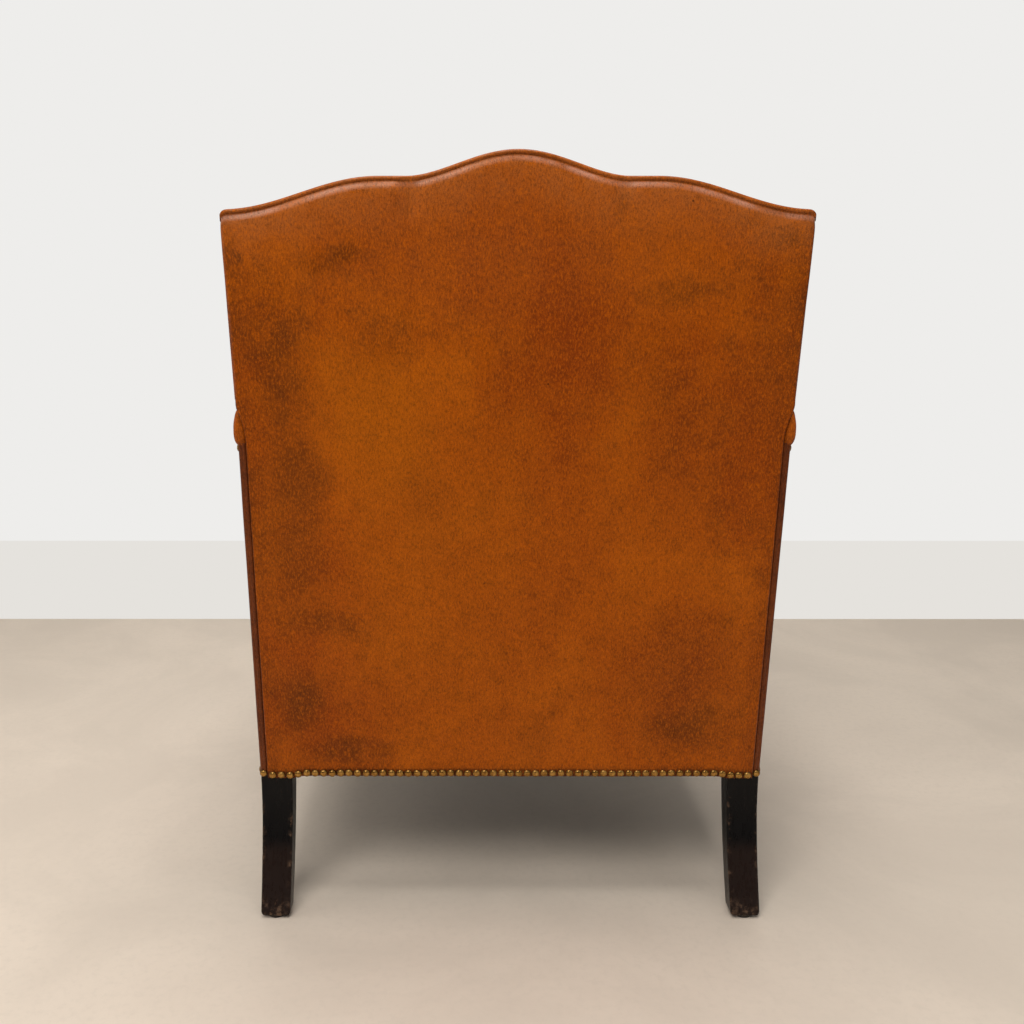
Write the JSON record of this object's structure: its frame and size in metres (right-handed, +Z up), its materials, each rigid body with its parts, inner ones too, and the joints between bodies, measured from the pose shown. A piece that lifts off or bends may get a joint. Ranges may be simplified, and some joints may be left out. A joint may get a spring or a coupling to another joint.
{
  "type": "club chair",
  "caption": "Leather club chair with a camel-back crest, rolled arms, brass nail heads, sabre rear legs and a loose seat cushion.",
  "frame": {"origin": "centre of the bounding box in plan, on the floor", "axes": "+Z up, -Y the way the chair faces, +X towards the sitter's left"},
  "size_m": [0.7038, 0.7999, 0.9628],
  "materials": {
    "dark_wood": "satin",
    "bolt_steel": "satin",
    "glide_steel": "satin",
    "beech": "matte",
    "screw_steel": "satin",
    "webbing": "matte",
    "spring_steel": "satin",
    "burlap": "matte",
    "cotton_fill": "matte",
    "cushion_fill": "matte",
    "dust_cloth": "matte",
    "tack_steel": "satin",
    "lining_cloth": "matte",
    "leather_back": "satin",
    "leather_side": "satin",
    "leather_arm": "satin",
    "leather_cushion": "satin",
    "leather_piping": "satin",
    "antique_brass": "satin",
    "zip_cloth": "matte",
    "zip_brass": "satin"
  },
  "bodies": {
    "chair": {"rear_post_left": "dark_wood", "rear_post_right": "dark_wood", "front_leg_left": "dark_wood", "front_leg_right": "dark_wood", "leg_bolts": "bolt_steel", "leg_glides": "glide_steel", "front_post_left": "beech", "front_post_right": "beech", "seat_rail_front": "beech", "seat_rail_rear": "beech", "seat_rail_left": "beech", "seat_rail_right": "beech", "corner_blocks": "beech", "corner_screws": "screw_steel", "crest_rail": "beech", "lower_back_rail": "beech", "arm_rail_left": "beech", "arm_rail_right": "beech", "arm_stay_rail_left": "beech", "arm_stay_rail_right": "beech", "seat_webbing": "webbing", "seat_springs": "spring_steel", "seat_burlap": "burlap", "deck_padding": "cotton_fill", "deck_cover": "leather_arm", "dust_cover": "dust_cloth", "dust_cover_tacks": "tack_steel", "back_webbing": "webbing", "back_burlap": "burlap", "back_padding": "cotton_fill", "inside_back_cover": "leather_back", "back_lining": "lining_cloth", "outside_back_panel": "leather_back", "arm_burlap_left": "burlap", "arm_burlap_right": "burlap", "arm_padding_left": "cotton_fill", "arm_padding_right": "cotton_fill", "arm_cover_left": "leather_arm", "arm_cover_right": "leather_arm", "arm_lining_left": "lining_cloth", "arm_lining_right": "lining_cloth", "outside_arm_left": "leather_side", "outside_arm_right": "leather_side", "arm_end_left": "leather_arm", "arm_end_right": "leather_arm", "arm_facing_left": "leather_arm", "arm_facing_right": "leather_arm", "nails_rear": "antique_brass", "nails_front": "antique_brass", "nails_left": "antique_brass", "nails_right": "antique_brass", "nails_arm_left": "antique_brass", "nails_arm_right": "antique_brass", "nails_facings": "antique_brass"},
    "cushion": {"cushion_core": "cushion_fill", "cushion_cover": "leather_cushion", "cushion_piping": "leather_piping", "zip_tape": "zip_cloth"},
    "zip": {"zip_slider": "zip_brass", "zip_pull": "zip_brass"}
  },
  "joints": [
    {"name": "cushion_lift", "type": "slide", "parent": "chair", "child": "cushion", "axis": [0, 0, 1], "range_m": [0, 0.4]},
    {"name": "zip_slide", "type": "slide", "parent": "cushion", "child": "zip", "axis": [-1, 0, 0], "range_m": [0, 0.396]}
  ]
}
